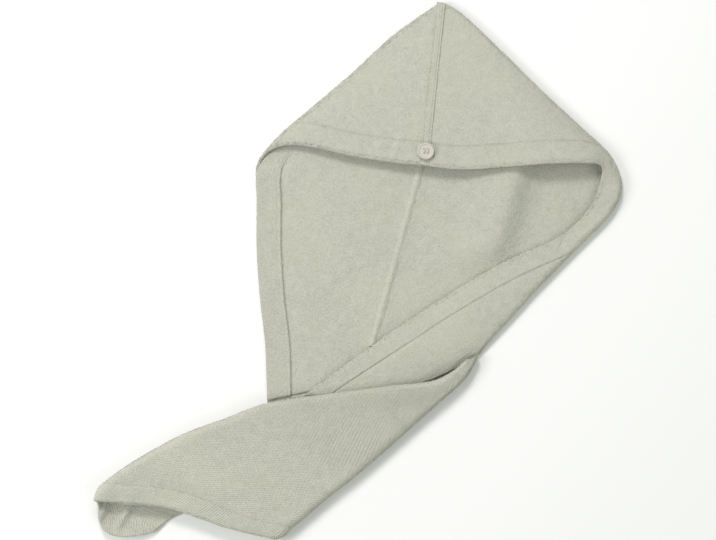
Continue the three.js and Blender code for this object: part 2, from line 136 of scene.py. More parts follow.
TAIL = (
    (0.96, 0.2375, -0.172, 0.230, -0.175, 0.2255, -0.177, 0.2185, -0.180, 0.2235, -0.178, 0.2265, -0.177, 0),
    (0.822, 0.214, -0.214, 0.201, -0.2095, 0.197, -0.208, 0.188, -0.205, 0.1965, -0.208, 0.202, -0.21, 0),
    (0.673, 0.162, -0.262, 0.1575, -0.2495, 0.153, -0.237, 0.148, -0.2235, 0.152, -0.2345, 0.1555, -0.245, 0),
    (0.525, 0.106, -0.312, 0.092, -0.286, 0.078, -0.26, 0.064, -0.233, 0.075, -0.2535, 0.088, -0.278, 0),
    (0.366, 0.05, -0.362, 0.012, -0.334, -0.022, -0.298, -0.05, -0.2475, -0.024, -0.294, 0.01, -0.332, 0),
    (0.238, -0.006, -0.41, -0.074, -0.384, -0.13, -0.346, -0.182, -0.268, -0.14, -0.346, -0.084, -0.412, 0.05),
    (0.149, -0.06, -0.452, -0.13, -0.424, -0.196, -0.378, -0.262, -0.298, -0.216, -0.374, -0.156, -0.444, 0.6),
    (0.084, -0.104, -0.49, -0.18, -0.46, -0.264, -0.408, -0.348, -0.33, -0.296, -0.41, -0.232, -0.47, 0.85),
    (0.05, -0.134, -0.514, -0.216, -0.488, -0.318, -0.432, -0.44, -0.380, -0.384, -0.442, -0.33, -0.482, 1),
    (0.022, -0.15, -0.529, -0.234, -0.506, -0.352, -0.45, -0.510, -0.430, -0.446, -0.48, -0.374, -0.498, 1),
    (0, -0.168, -0.537, -0.262, -0.514, -0.384, -0.474, -0.524, -0.460, -0.496, -0.528, -0.41, -0.524, 1),
)

JOIN_LEFT = (-0.182, -0.262)
JOIN_RIGHT = (0.222, -0.174)
SEAM_LINE = {"x": 0.126, "y": 0.204, "above": 0.13, "below": 0.276, "soft": 0.03}


# Properties

class TowelCloth(bpy.types.PropertyGroup):
    """The terry cloth and its pile."""

    pile: FloatProperty(
        name="Pile", description="Height of the pile's unevenness", default=0.35 * MM, unit="LENGTH")
    colour: FloatVectorProperty(
        name="Cloth colour", description="The dyed terry, as linear light", subtype="COLOR",
        default=(0.572, 0.570, 0.498))
    # The deep colour is the pile's darker speckle, and painted shade in the hollows between its loops.
    shade: FloatVectorProperty(
        name="Deep colour", description="The cloth between its loops", subtype="COLOR",
        default=(0.425, 0.432, 0.360))
    rows: IntProperty(name="Rows", description="Steps along a piece", default=190, min=40)
    columns: IntProperty(name="Columns", description="Steps across a piece", default=210, min=80)
    loops: FloatProperty(name="Loops", description="Standing loops on a square metre", default=420000.0)
    seed: IntProperty(name="Seed", description="Seed of the pile and creases", default=7)


class TowelFastener(bpy.types.PropertyGroup):
    """The button and its thread."""

    colour: FloatVectorProperty(
        name="Button colour", description="The cream plastic, as linear light", subtype="COLOR",
        default=(0.605, 0.567, 0.505))
    thread: FloatVectorProperty(
        name="Thread colour", description="Sewing thread", subtype="COLOR", default=(0.560, 0.560, 0.470))


# Numbers

def curve_between(part, first, second, slope_first, slope_second):
    """A cubic curve from first to second, which leaves and arrives with the given slopes."""
    square = part * part
    cube = square * part
    leaving = (2 * cube - 3 * square + 1) * first + (cube - 2 * square + part) * slope_first
    return leaving + ((3 * square - 2 * cube) * second + (cube - square) * slope_second)


def blend_rows(table, columns, at):
    """Every column's value at places along the table, on a smooth curve through its rows."""
    rows = np.array(table, float)
    position = np.clip(at, 0, 1) * (len(rows) - 1)
    row = np.minimum(position.astype(int), len(rows) - 2)
    part = (position - row)[:, None]
    before = rows[np.maximum(row - 1, 0)]
    first = rows[row]
    second = rows[row + 1]
    after = rows[np.minimum(row + 2, len(rows) - 1)]
    values = curve_between(part, first, second, (second - before) / 2, (after - first) / 2)
    return {name: values[:, k] for k, name in enumerate(columns)}


def smooth(value, low, high):
    """0 below low and 1 above high, with a soft step between."""
    share = np.clip((value - low) / (high - low), 0, 1)
    return share * share * (3 - 2 * share)


def bump_at(value, middle, width):
    """A soft bump of height 1."""
    return np.exp(-(((value - middle) / width) ** 2))


def noise(x, y, size, seed):
    """Smooth unevenness from -1 to 1, with lumps of the given size."""
    cells = 256
    grid = np.random.default_rng(seed).uniform(-1, 1, (cells, cells))
    u = x / size + 97.3
    v = y / size + 41.7
    column = np.floor(u).astype(int)
    row = np.floor(v).astype(int)
    across = u - column
    down = v - row
    across = across * across * (3 - 2 * across)
    down = down * down * (3 - 2 * down)

    def corner(dx, dy):
        return grid[(row + dy) % cells, (column + dx) % cells]

    upper = corner(0, 0) * (1 - across) + corner(1, 0) * across
    lower = corner(0, 1) * (1 - across) + corner(1, 1) * across
    return upper * (1 - down) + lower * down


# Surfaces, as arrays of rows by columns by 3

def seam_place(share):
    """Places on the back layer's centre seam."""
    past = share - SEAM_LINE["y"]
    mean = (SEAM_LINE["above"] + SEAM_LINE["below"]) / 2
    swing = (SEAM_LINE["above"] - SEAM_LINE["below"]) / 2
    return SEAM_LINE["x"] + mean * past + swing * np.hypot(past, SEAM_LINE["soft"]), share


def places(x, y, z):
    """Points from shares of the span and heights."""
    return np.stack([x * SPAN, y * SPAN, np.broadcast_to(z, x.shape)], axis=1)


def spot(row, name, z):
    """A row's named place, at a height."""
    return places(row[name + "_x"], row[name + "_y"], z)


def back_from(edge, towards, distance, height):
    """A place back from a fold's edge, on the way to another place."""
    way = (towards - edge)[:, :2]
    far = np.linalg.norm(way, axis=1)
    step = np.minimum(distance, far * 0.6) / np.maximum(far, 1e-9)
    moved = edge[:, :2] + way * step[:, None]
    return np.column_stack([moved, np.broadcast_to(height, far.shape)])


def stretch(start, through, finish, steps):
    """A curve from start to just before finish, that passes through a place halfway."""
    share = (np.arange(steps) / steps)[None, :, None]
    control = through * 2 - (start + finish) / 2
    start, control, finish = start[:, None], control[:, None], finish[:, None]
    return start * (1 - share) ** 2 + control * 2 * share * (1 - share) + finish * share ** 2


def bend(start, edge, finish, steps):
    """The round of a fold: it leaves start level, reaches the edge and comes back level to finish."""
    turned = np.pi * np.arange(steps) / steps
    share = ((1 - np.cos(turned)) / 2)[None, :, None]
    reach = np.sin(turned)[None, :, None]
    inner = start[:, None] * (1 - share) + finish[:, None] * share
    outer = np.concatenate([np.broadcast_to(edge[:, None, :2], inner[..., :2].shape), inner[..., 2:]], axis=2)
    return inner * (1 - reach) + outer * reach


def lengths_along(grid):
    """Distances along each row from its first point."""
    gaps = np.linalg.norm(np.diff(grid, axis=1), axis=2)
    return np.concatenate([np.zeros((len(grid), 1)), np.cumsum(gaps, axis=1)], axis=1)


def through_four(first, second, third, fourth, steps):
    """A smooth curve through four places, leaving out the last."""
    knots = np.stack([first * 2 - second, first, second, third, fourth, fourth * 2 - third], axis=1)
    total = lengths_along(knots[:, 1:5])
    total /= total[:, -1:]
    points = []
    for share in np.arange(steps) / steps:
        piece = np.minimum((share >= total[:, 1:3]).sum(axis=1), 2)
        rows = np.arange(len(knots))
        low = total[rows, piece]
        part = ((share - low) / np.maximum(total[rows, piece + 1] - low, 1e-9))[:, None]
        a, b, c, d = (knots[rows, piece + k] for k in range(4))
        points.append(curve_between(part, b, c, (c - a) / 2, (d - b) / 2))
    return np.stack(points, axis=1)


def panel_surface(table, side, at, steps):
    """A panel's middle surface. steps are the columns before, round and after the fold."""
    row = blend_rows(table, PANEL_COLUMNS, at)
    lift = np.maximum(row["lift"], 0)
    rest = np.maximum(row["rest"], 0)
    fold_height = HALF + np.maximum(row["round"], 0) * (FOLD_HEIGHT + CLOTH)
    hem = spot(row, "hem", HALF + lift * LIP_LIFT + rest * (BAND_REST - HALF))
    mid = spot(row, "mid", 0)
    edge = spot(row, "fold", 0)
    seam = places(*seam_place(row["seam"]), HALF)
    for points in (hem, mid, edge, seam):
        points[:, 0] += side * SIDE_GAP
    bow = (fold_height - HALF) / 2
    upper = back_from(edge, mid, bow, fold_height)
    lower = back_from(edge, seam, bow, HALF)
    mid[:, 2] = (hem[:, 2] + upper[:, 2]) / 2 + row["puff"] * BULGE + lift * LIP_LIFT * LIP_BOW
    before, around, after = steps
    return np.concatenate([
        stretch(hem, mid, upper, before),
        bend(upper, edge, lower, around),
        stretch(lower, (lower + seam) / 2, seam, after),
        seam[:, None],
    ], axis=1)


def join_place(share):
    """Places where the panels pass into the tail."""
    x = JOIN_LEFT[0] + (JOIN_RIGHT[0] - JOIN_LEFT[0]) * share
    y = JOIN_LEFT[1] + (JOIN_RIGHT[1] - JOIN_LEFT[1]) * share
    points = places(x, y, HALF)
    points[:, 1] -= SIDE_GAP
    return points


def tail_surface(at, steps):
    """The tail's middle surface. steps are the columns of its five stretches."""
    row = blend_rows(TAIL, TAIL_COLUMNS, at)
    tip = np.clip(row["tip"], 0, 1)
    over = TAIL_OVER + (TIP_OVER - TAIL_OVER) * tip - NOTCH_DROP * (1 - smooth(at, 0, NOTCH_SHARE))
    under = TAIL_UNDER + (TIP_UNDER - TAIL_UNDER) * tip
    join = join_place(row["join"])
    turn = spot(row, "turn", 0)
    near = spot(row, "near", over)
    far = spot(row, "far", over)
    roll = spot(row, "roll", 0)
    below = spot(row, "below", under)
    end = spot(row, "end", under)
    lower = back_from(turn, join, (over - HALF) / 2, HALF)
    upper = back_from(turn, near, (over - HALF) / 2, over)
    roll_upper = back_from(roll, far, (over - under) / 2, over)
    roll_lower = back_from(roll, below, (over - under) / 2, under)
    flat, turning, top, rolling, inside = steps
    return np.concatenate([
        stretch(join, (join + lower) / 2, lower, flat),
        bend(lower, turn, upper, turning),
        through_four(upper, near, far, roll_upper, top),
        bend(roll_upper, roll, roll_lower, rolling),
        stretch(roll_lower, below, end, inside),
        end[:, None],
    ], axis=1)


def even_places(surface, coarse, rows, last_dense=0):
    """Places along a table at even distances, optionally closer over its last length."""
    fine = np.linspace(0, 1, 900)
    grid = surface(fine, coarse)
    gaps = np.linalg.norm(np.diff(grid, axis=0), axis=2).mean(axis=1)
    far = np.concatenate([[0], np.cumsum(gaps)])
    if not last_dense:
        return np.interp(np.linspace(0, far[-1], rows), far, fine)
    dense = int(last_dense / DENSE_STEP)
    wanted = np.concatenate([
        np.linspace(0, far[-1] - last_dense, rows - dense, endpoint=False),
        np.linspace(far[-1] - last_dense, far[-1], dense)])
    return np.interp(wanted, far, fine)


def at_distances(grid, near, count):
    """The same surface with its columns at the distances near, and then evenly to the end."""
    lengths = lengths_along(grid)
    rows = []
    for row, far in enumerate(lengths[:, -1]):
        close = near * min(1, far * 0.5 / near[-1])
        wanted = np.concatenate([close, np.linspace(close[-1], far, count - len(near) + 1)[1:]])
        rows.append(line_at(grid, lengths, row, wanted))
    return np.stack(rows)


def unit(vectors):
    """Vectors of length 1."""
    return vectors / np.maximum(np.linalg.norm(vectors, axis=-1, keepdims=True), 1e-12)


def normals_of(grid):
    """Unit normals of a surface."""
    return unit(np.cross(np.gradient(grid, axis=1), np.gradient(grid, axis=0)))


def cloth_lengths(grid):
    """Distances along the cloth: down each column, and along each row."""
    return lengths_along(grid.swapaxes(0, 1)).T, lengths_along(grid)


def area_of(grid):
    """The area of a surface."""
    a = grid[1:, :-1] - grid[:-1, :-1]
    b = grid[:-1, 1:] - grid[:-1, :-1]
    c = grid[1:, :-1] - grid[1:, 1:]
    d = grid[:-1, 1:] - grid[1:, 1:]
    halves = np.linalg.norm(np.cross(a, b), axis=2) + np.linalg.norm(np.cross(c, d), axis=2)
    return float(halves.sum() / 2)


def line_at(grid, lengths, row, wanted):
    """Points at the wanted distances along one row of a surface."""
    return np.stack([np.interp(wanted, lengths[row], grid[row, :, k]) for k in range(3)], axis=-1)


# Meshes

def finish_of(name):
    """One of the towel's finishes, by its name."""
    return bpy.data.materials[name]


def shade_smooth(mesh):
    """Shades all of a mesh's faces smoothly."""
    mesh.polygons.foreach_set("use_smooth", np.ones(len(mesh.polygons), bool))


def linked(name, data):
    """A new object in the scene."""
    made = bpy.data.objects.new(name, data)
    bpy.context.scene.collection.objects.link(made)
    return made


def make_object(name, verts, faces, uv=None, material=None):
    """A mesh object at the origin, with an optional UV for each vertex."""
    mesh = bpy.data.meshes.new(name)
    mesh.from_pydata([tuple(v) for v in verts], [], [tuple(f) for f in faces])
    if uv is not None:
        layer = mesh.uv_layers.new(name="cloth")
        index = np.empty(len(mesh.loops), int)
        mesh.loops.foreach_get("vertex_index", index)
        layer.data.foreach_set("uv", uv[index].ravel())
    shade_smooth(mesh)
    mesh.validate()
    mesh.update()
    if material:
        mesh.materials.append(material)
    return linked(name, mesh)


def cells_of(rows, columns):
    """The grid of a surface's vertex numbers, and the four corners of each of its cells."""
    index = np.arange(rows * columns).reshape(rows, columns)
    corners = (index[:-1, :-1], index[:-1, 1:], index[1:, 1:], index[1:, :-1])
    return index, np.stack([corner.ravel() for corner in corners], 1)


def wall_object(name, outer, inner, uv, material):
    """A closed wall between two surfaces, the first of them on the outside."""
    index, cells = cells_of(*outer.shape[:2])
    count = index.size
    verts = np.concatenate([outer.reshape(-1, 3), inner.reshape(-1, 3)])
    faces = [cells, cells[:, [0, 3, 2, 1]] + count]
    ring = np.concatenate([index[0, :-1], index[:-1, -1], index[-1, :0:-1], index[:0:-1, 0]])
    after = np.roll(ring, -1)
    faces.append(np.stack([after, ring, ring + count, after + count], 1))
    made = make_object(name, verts, np.concatenate(faces), np.concatenate([uv, uv]), material)
    build = bmesh.new()
    build.from_mesh(made.data)
    if build.calc_volume(signed=True) < 0:
        bmesh.ops.reverse_faces(build, faces=build.faces)
    build.to_mesh(made.data)
    build.free()
    return made


def rounded(distance, radius):
    """The share of a wall's thickness near an edge that is rounded off."""
    inside = np.clip(distance / radius, 0, 1)
    return np.maximum(np.sqrt(1 - (1 - inside) ** 2), 0.2)


def terry_wall(name, grid, outside, thickness, settings, relief, material, edge=None, mapped=None):
    """Cloth with an uneven pile on both faces. outside is the sign of the normals' outer side."""
    down, across = cloth_lengths(grid)
    normal = normals_of(grid) * outside
    if edge is None:
        edge = across
    sides = []
    for k, sign in enumerate((1, -1)):
        rough = noise(down, across, FINE_PILE, settings.seed + k) * 0.5
        rough += noise(down, across, BROAD_PILE, settings.seed + 5 + k) * 0.5
        half = (thickness / 2 + rough * settings.pile) * rounded(edge, thickness * 0.6)
        face = grid + normal * (sign * half + relief[k])[..., None]
        face[..., 2] = np.maximum(face[..., 2], 0)
        sides.append(face)
    uv = np.stack([(down if mapped is None else mapped).ravel(), across.ravel()], 1)
    return wall_object(name, sides[0], sides[1], uv, finish_of(material))


def ride_as(made, nodes=()):
    """Puts a piece on the towel, and hides the solids that it stands for."""
    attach(made, "root")
    if nodes:
        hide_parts(*nodes)


def declare(made, grid, nodes):
    """The same for cloth. Its flat size and area are worked out, but nothing keeps them."""
    ride_as(made, nodes)
    down, across = cloth_lengths(grid)
    flat = (float(across[:, -1].max()), float(down[-1].max()))
    min(area_of(grid), flat[0] * flat[1])


def tube(points, radius, sides=8):
    """Verts and faces of a closed round tube along points that lie across the X axis."""
    points = np.array(points, float)
    along = unit(np.gradient(points, axis=0))
    first = unit(np.cross(along, np.cross(along, [1.0, 0.0, 0.0])))
    second = np.cross(along, first)
    turn = np.linspace(0, 2 * math.pi, sides, endpoint=False)
    rings = points[:, None] + radius * (
        first[:, None] * np.cos(turn)[None, :, None] + second[:, None] * np.sin(turn)[None, :, None])
    verts = rings.reshape(-1, 3).tolist()
    faces = []
    for ring in range(len(points) - 1):
        for k in range(sides):
            a, b = ring * sides + k, ring * sides + (k + 1) % sides
            faces.append((a, b, b + sides, a + sides))
    faces.append(tuple(range(sides - 1, -1, -1)))
    faces.append(tuple(range((len(points) - 1) * sides, len(points) * sides)))
    return verts, faces


def joined(parts):
    """Several parts' verts and faces as one."""
    verts, faces = [], []
    for part_verts, part_faces in parts:
        faces += [tuple(k + len(verts) for k in face) for face in part_faces]
        verts += list(part_verts)
    return verts, faces


def faces_out(made):
    """Turns a closed mesh's faces outwards."""
    build = bmesh.new()
    build.from_mesh(made.data)
    bmesh.ops.recalc_face_normals(build, faces=build.faces)
    build.to_mesh(made.data)
    build.free()


# Node trees

class Maths:
    """A socket that takes part in sums."""

    def __init__(self, tree, socket):
        self.tree = tree
        self.socket = socket

    def _sum(self, operation, *others):
        """One Math node."""
        node = self.tree.nodes.new("ShaderNodeMath")
        node.operation = operation
        for k, value in enumerate((self, *others)):
            if isinstance(value, Maths):
                self.tree.links.new(value.socket, node.inputs[k])
            else:
                node.inputs[k].default_value = value
        return Maths(self.tree, node.outputs[0])

    def __add__(self, other):
        return self._sum("ADD", other)

    __radd__ = __add__

    def __mul__(self, other):
        return self._sum("MULTIPLY", other)

    __rmul__ = __mul__

    def __sub__(self, other):
        return self._sum("SUBTRACT", other)

    def __rsub__(self, other):
        return (self * -1) + other

    def sine(self):
        """The sine of an angle in radians."""
        return self._sum("SINE")

    def clamp(self):
        """Held between 0 and 1."""
        return self._sum("MINIMUM", 1)._sum("MAXIMUM", 0)


class Nodes:
    """A node tree that is being filled."""

    def __init__(self, tree):
        self.tree = tree

    def give(self, socket, value):
        """Links an input, or gives it a value."""
        if isinstance(value, Maths):
            value = value.socket
        if isinstance(value, bpy.types.NodeSocket):
            self.tree.links.new(value, socket)
        else:
            socket.default_value = value

    def node(self, kind, settings=None, **sockets):
        """Any node, from its type, its settings and the values or links of its sockets."""
        made = self.tree.nodes.new(kind)
        for key, value in (settings or {}).items():
            setattr(made, key, value)
        for key, value in sockets.items():
            self.give(made.inputs[key.replace("_", " ")], value)
        return made


# Repeated details, as geometry nodes

def repeat_tree(name, numbers):
    """A geometry node tree with a geometry, a material and named numbers as inputs."""
    tree = bpy.data.node_groups.new(name, "GeometryNodeTree")
    tree.interface.new_socket("Geometry", in_out="INPUT", socket_type="NodeSocketGeometry")
    tree.interface.new_socket("Material", in_out="INPUT", socket_type="NodeSocketMaterial")
    for key, value in numbers.items():
        kind = "NodeSocketInt" if isinstance(value, int) else "NodeSocketFloat"
        tree.interface.new_socket(key, in_out="INPUT", socket_type=kind).default_value = value
    tree.interface.new_socket("Geometry", in_out="OUTPUT", socket_type="NodeSocketGeometry")
    nodes = Nodes(tree)
    return nodes, nodes.node("NodeGroupInput").outputs


def close_tree(nodes, instances, material):
    """Makes the instances real and gives them their material."""
    real = nodes.node("GeometryNodeRealizeInstances", Geometry=instances)
    finish = nodes.node("GeometryNodeSetMaterial", Geometry=real.outputs[0], Material=material)
    nodes.node("NodeGroupOutput", Geometry=finish.outputs[0])
    return nodes.tree


def random_value(nodes, kind, first, low, high, seed):
    """A random value for each point, whose limits stand in the sockets from first."""
    made = nodes.node("FunctionNodeRandomValue", {"data_type": kind}, Seed=seed)
    made.inputs[first].default_value = low
    made.inputs[first + 1].default_value = high
    return made


def pile_tree():
    """Small standing loops, strewn over a surface."""
    nodes, given = repeat_tree(
        "Terry loops", {"Density": 1.0, "Height": LOOP_HEIGHT, "Thickness": LOOP_RADIUS, "Seed": 1})
    points = nodes.node(
        "GeometryNodeDistributePointsOnFaces",
        Mesh=given["Geometry"], Density=given["Density"], Seed=given["Seed"])
    arc = nodes.node(
        "GeometryNodeCurveArc", Resolution=5, Radius=Maths(nodes.tree, given["Height"]) * 0.5,
        Start_Angle=-0.6, Sweep_Angle=math.pi + 1.2)
    ring = nodes.node("GeometryNodeCurvePrimitiveCircle", Resolution=3, Radius=given["Thickness"])
    loop = nodes.node("GeometryNodeCurveToMesh", Curve=arc.outputs[0], Profile_Curve=ring.outputs[0])
    upright = nodes.node("GeometryNodeTransform", Geometry=loop.outputs[0], Rotation=(math.pi / 2, 0, 0))
    lean = random_value(nodes, "FLOAT_VECTOR", 0, (-0.7, -0.7, -3.1), (0.7, 0.7, 3.1), given["Seed"])
    leaning = nodes.node(
        "FunctionNodeRotateRotation", {"rotation_space": "LOCAL"},
        Rotation=points.outputs["Rotation"], Rotate_By=lean.outputs[0])
    size = random_value(nodes, "FLOAT", 2, 0.6, 1.3, given["Seed"])
    placed = nodes.node(
        "GeometryNodeInstanceOnPoints", Points=points.outputs["Points"],
        Instance=upright.outputs[0], Rotation=leaning.outputs[0], Scale=size.outputs[1])
    return close_tree(nodes, placed.outputs[0], given["Material"])


def stitch_tree():
    """Rounded stitches in line along an edge."""
    nodes, given = repeat_tree("Stitches", {"Pitch": 3.2 * MM, "Length": 2.3 * MM, "Thickness": 0.3 * MM})
    line = nodes.node("GeometryNodeMeshToCurve", Mesh=given["Geometry"])
    spaced = nodes.node(
        "GeometryNodeResampleCurve", {"mode": "LENGTH"}, Curve=line.outputs[0], Length=given["Pitch"])
    tangent = nodes.node("GeometryNodeInputTangent")
    aligned = nodes.node("FunctionNodeAlignRotationToVector", {"axis": "Z"}, Vector=tangent.outputs[0])
    bead = nodes.node("GeometryNodeMeshUVSphere", Segments=6, Rings=5, Radius=1.0)
    shape = nodes.node(
        "ShaderNodeCombineXYZ",
        X=given["Thickness"], Y=given["Thickness"], Z=Maths(nodes.tree, given["Length"]) * 0.5)
    placed = nodes.node(
        "GeometryNodeInstanceOnPoints", Points=spaced.outputs[0],
        Instance=bead.outputs[0], Rotation=aligned.outputs[0], Scale=shape.outputs[0])
    return close_tree(nodes, placed.outputs[0], given["Material"])


def repeated(name, source, tree, material, **numbers):
    """Runs a tree on a source object, and keeps the result as a plain mesh."""
    modifier = source.modifiers.new("Repeat", "NODES")
    modifier.node_group = tree
    values = {"Material": material, **numbers}
    for socket in tree.interface.items_tree:
        if socket.in_out == "INPUT" and socket.name in values:
            modifier[socket.identifier] = values[socket.name]
    graph = bpy.context.evaluated_depsgraph_get()
    mesh = bpy.data.meshes.new_from_object(source.evaluated_get(graph))
    bpy.data.objects.remove(source, do_unlink=True)
    if not mesh.polygons:
        raise RuntimeError(f"{name} came out empty")
    shade_smooth(mesh)
    mesh.materials.clear()
    mesh.materials.append(material)
    return linked(name, mesh)


def patch_object(name, face, wanted):
    """The wanted part of a surface, which carries a pile while it is made."""
    _, cells = cells_of(*face.shape[:2])
    return make_object(name, face.reshape(-1, 3), cells[wanted[:-1, :-1].ravel()])


def line_object(name, lines):
    """Lines of points that carry stitches while they are made."""
    verts, edges = [], []
    for line in lines:
        start = len(verts)
        verts += [tuple(map(float, point)) for point in line]
        edges += [(start + k, start + k + 1) for k in range(len(line) - 1)]
    mesh = bpy.data.meshes.new(name)
    mesh.from_pydata(verts, edges, [])
    return linked(name, mesh)


# Materials

class Shader(Nodes):
    """One material's node tree."""

    def __init__(self, name):
        self.material = bpy.data.materials.new(name)
        self.material.use_nodes = True
        super().__init__(self.material.node_tree)
        self.tree.nodes.clear()

    def out(self, kind, output, settings=None, **sockets):
        """A node's output, ready for sums."""
        return Maths(self.tree, self.node(kind, settings, **sockets).outputs[output])

    def mix(self, factor, first, second):
        """A blend of two colours."""
        node = self.node("ShaderNodeMix", {"data_type": "RGBA"})
        for place, value in ((0, factor), (6, first), (7, second)):
            self.give(node.inputs[place], (*value, 1) if isinstance(value, list) else value)
        return node.outputs[2]

    def finish(self, **sockets):
        """The surface, from the principled shader's sockets."""
        skin = self.node("ShaderNodeBsdfPrincipled", **sockets)
        self.node("ShaderNodeOutputMaterial", Surface=skin.outputs[0])
        return self.material


def zigzag(shader, wander, banded):
    """The weave's zigzag rows, from the cloth's own UV, with streaks across a hem where banded."""
    cloth = shader.node("ShaderNodeUVMap", {"uv_map": "cloth"}).outputs[0]
    parts = shader.node("ShaderNodeSeparateXYZ", Vector=cloth)
    down = Maths(shader.tree, parts.outputs[0])
    across = Maths(shader.tree, parts.outputs[1])
    slant = across * 900.0
    ribs = (down * 2500.0 + slant + wander).sine() + (down * 2500.0 - slant + wander).sine()
    if not banded:
        return ribs
    inside = ((down * -1.0 + STITCH_IN) * 2000.0).clamp()
    streaks = (across * 2300.0 + down * 900.0 + wander * 0.5).sine() * 1.4
    return ribs * (1.0 - inside) + streaks * inside


def terry_material(name, settings, rib_strength, tint=1.0, banded=False):
    """Looped terry: fine loops, soft lumps, faint zigzag rows, and a slight change of colour, with painted
    shade where the pile and its rows lie low.
    """
    shader = Shader(name)
    place = shader.node("ShaderNodeTexCoord").outputs["Object"]
    loops = shader.out("ShaderNodeTexNoise", "Fac", {"noise_dimensions": "3D"},
                       Vector=place, Scale=520.0, Detail=4.0, Roughness=0.7)
    cells = shader.out("ShaderNodeTexVoronoi", "Distance", Vector=place, Scale=560.0)
    lumps = shader.out("ShaderNodeTexNoise", "Fac", Vector=place, Scale=130.0, Detail=3.0)
    broad = shader.out("ShaderNodeTexNoise", "Fac", Vector=place, Scale=14.0, Detail=3.0)
    height = loops * 1.2 + lumps * 0.7 + cells * -0.8
    # depth falls where the pile's height falls: the deep colour there is painted shade in its hollows, over
    # the pile's own speckle.
    depth = (loops - 0.5) * 1.5 + (lumps - 0.5) * 0.8 + cells * -0.6 + 0.9
    if rib_strength:
        ribs = zigzag(shader, (lumps - 0.5) * 4.0, banded)
        height = height + ribs * rib_strength
        depth = depth + ribs * (rib_strength * 0.5)
    body = [min(c * tint, 1) for c in settings.colour]
    hollow_shade = [min(c * tint, 1) for c in settings.shade]
    colour = shader.mix(depth.clamp(), hollow_shade, body)
    warm = shader.mix((broad - 0.45) * 1.2, colour, [body[0] * 1.03, body[1] * 1.0, body[2] * 0.94])
    bump = shader.node("ShaderNodeBump", Strength=0.6, Distance=0.0008, Height=height)
    return shader.finish(
        Base_Color=warm, Roughness=0.92, Normal=bump.outputs[0],
        Sheen_Weight=0.35, Sheen_Roughness=0.5, Specular_IOR_Level=0.12)


def plain_material(name, colour, roughness, grain, depth=0.0001):
    """A smooth solid with a faint grain."""
    shader = Shader(name)
    place = shader.node("ShaderNodeTexCoord").outputs["Object"]
    lumps = shader.out("ShaderNodeTexNoise", "Fac", Vector=place, Scale=grain, Detail=3.0)
    tone = shader.mix(lumps, [c * 0.94 for c in colour], [min(c * 1.05, 1) for c in colour])
    bump = shader.node("ShaderNodeBump", Strength=0.3, Distance=depth, Height=lumps)
    return shader.finish(Base_Color=tone, Roughness=roughness, Normal=bump.outputs[0])


# Forms that the cloth lies in. Each steps value counts columns along the stretches of a surface.

PANEL_STEPS = (96, 30, 90)
PANEL_COARSE = (8, 4, 8)
TAIL_STEPS = (40, 30, 90, 26, 60)
TAIL_COARSE = (6, 4, 10, 4, 6)
TAIL_DENSE = 30 * MM
DENSE_STEP = 0.7 * MM
INNER_SHARE = 0.3
NEAR_HEM = np.concatenate([
    [0, 0.15, 0.4, 0.8, 1.3, 2, 3], np.arange(4.6, 21, 1.8), np.arange(21.4, 27.2, 0.6), [28.4, 30]]) * MM
MOUTH_CURL = 8.5 * MM
MOUTH_DEPTH = 30 * MM

# Each fold inside the mouth: its start and finish as shares of the span, its height and its width.

MOUTH_FOLDS = (
    ((-0.450, -0.456), (-0.480, -0.512), 5.5 * MM, 3.4 * MM),
    ((-0.500, -0.462), (-0.516, -0.496), 3.5 * MM, 2.6 * MM),
)
NEAR_EDGE = np.array([0, 0.3, 0.8, 1.5, 2.5]) * MM

# The long ridge's crest on the right of the back layer.

CREST_HEIGHT = 11.5 * MM
CREST_Y = np.array([-10, 8, 37, 63, 95, 130, 160]) * MM
CREST_X = np.array([126, 134, 146, 154, 162, 170, 176]) * MM


def seam_near(x, y, width):
    """1 on the back layer's seam, and less with the distance from it."""
    seam, _ = seam_place(y / SPAN)
    return bump_at(x, seam * SPAN, width)


def lie_on(grid, back, height, seed):
    """Raises the back layer in soft lumps, which level out beside its seam, and along the seam."""
    x, y = grid[..., 0], grid[..., 1]
    lumps = height * (1 + noise(x, y, 48 * MM, seed)) * (1 - seam_near(x, y, 18 * MM))
    grid[..., 2] += back * (lumps + SEAM_RISE * seam_near(x, y, 9 * MM))


def lie_left(grid, fold, seed):
    """Waves of the lip, its gathers by the button, and soft unevenness of the back layer."""
    down, across = cloth_lengths(grid)
    fold = fold[:, None]
    top = smooth(fold, 12 * MM, 40 * MM) * np.exp(-((across / (45 * MM)) ** 2))
    grid[..., 2] += top * 1.1 * MM * noise(down, across * 0.4, 34 * MM, seed)
    gather = bump_at(down, 34 * MM, 17 * MM) * bump_at(across, 17 * MM, 12 * MM)
    gather *= smooth(fold, 30 * MM, 60 * MM)
    grid[..., 2] += gather * 1.5 * MM * noise(down + across * 0.25, across * 0.15, 6 * MM, seed + 3)
    lie_on(grid, smooth(across - fold, 15 * MM, 50 * MM), 0.9 * MM, seed + 1)
    return grid


def lie_right(grid, fold, seed):
    """The same, with the long soft ridge and hollow at the right of the back layer."""
    down, across = cloth_lengths(grid)
    fold = fold[:, None]
    x, y = grid[..., 0], grid[..., 1]
    top = smooth(fold, 30 * MM, 60 * MM) * smooth(y, 60 * MM, 90 * MM) * np.exp(-((across / (45 * MM)) ** 2))
    grid[..., 2] += top * MM * noise(down, across * 0.4, 38 * MM, seed)
    gather = bump_at(down, 22 * MM, 12 * MM) * bump_at(across, 17 * MM, 12 * MM)
    grid[..., 2] += gather * MM * noise(down - across * 0.2, across * 0.15, 6 * MM, seed + 3)
    back = smooth(across - fold, 12 * MM, 40 * MM)
    past = x - np.interp(y, CREST_Y, CREST_X)
    ridge = np.where(past < 0, bump_at(past, 0, 34 * MM), bump_at(past, 0, 19 * MM))
    ridge *= smooth(y, -12 * MM, 32 * MM)
    rise = smooth(past, 34 * MM, 62 * MM) * smooth(y, 10 * MM, 50 * MM)
    grid[..., 2] += back * (ridge * CREST_HEIGHT + rise * 1.5 * MM)
    lie_on(grid, back, 0.8 * MM, seed + 1)
    return grid


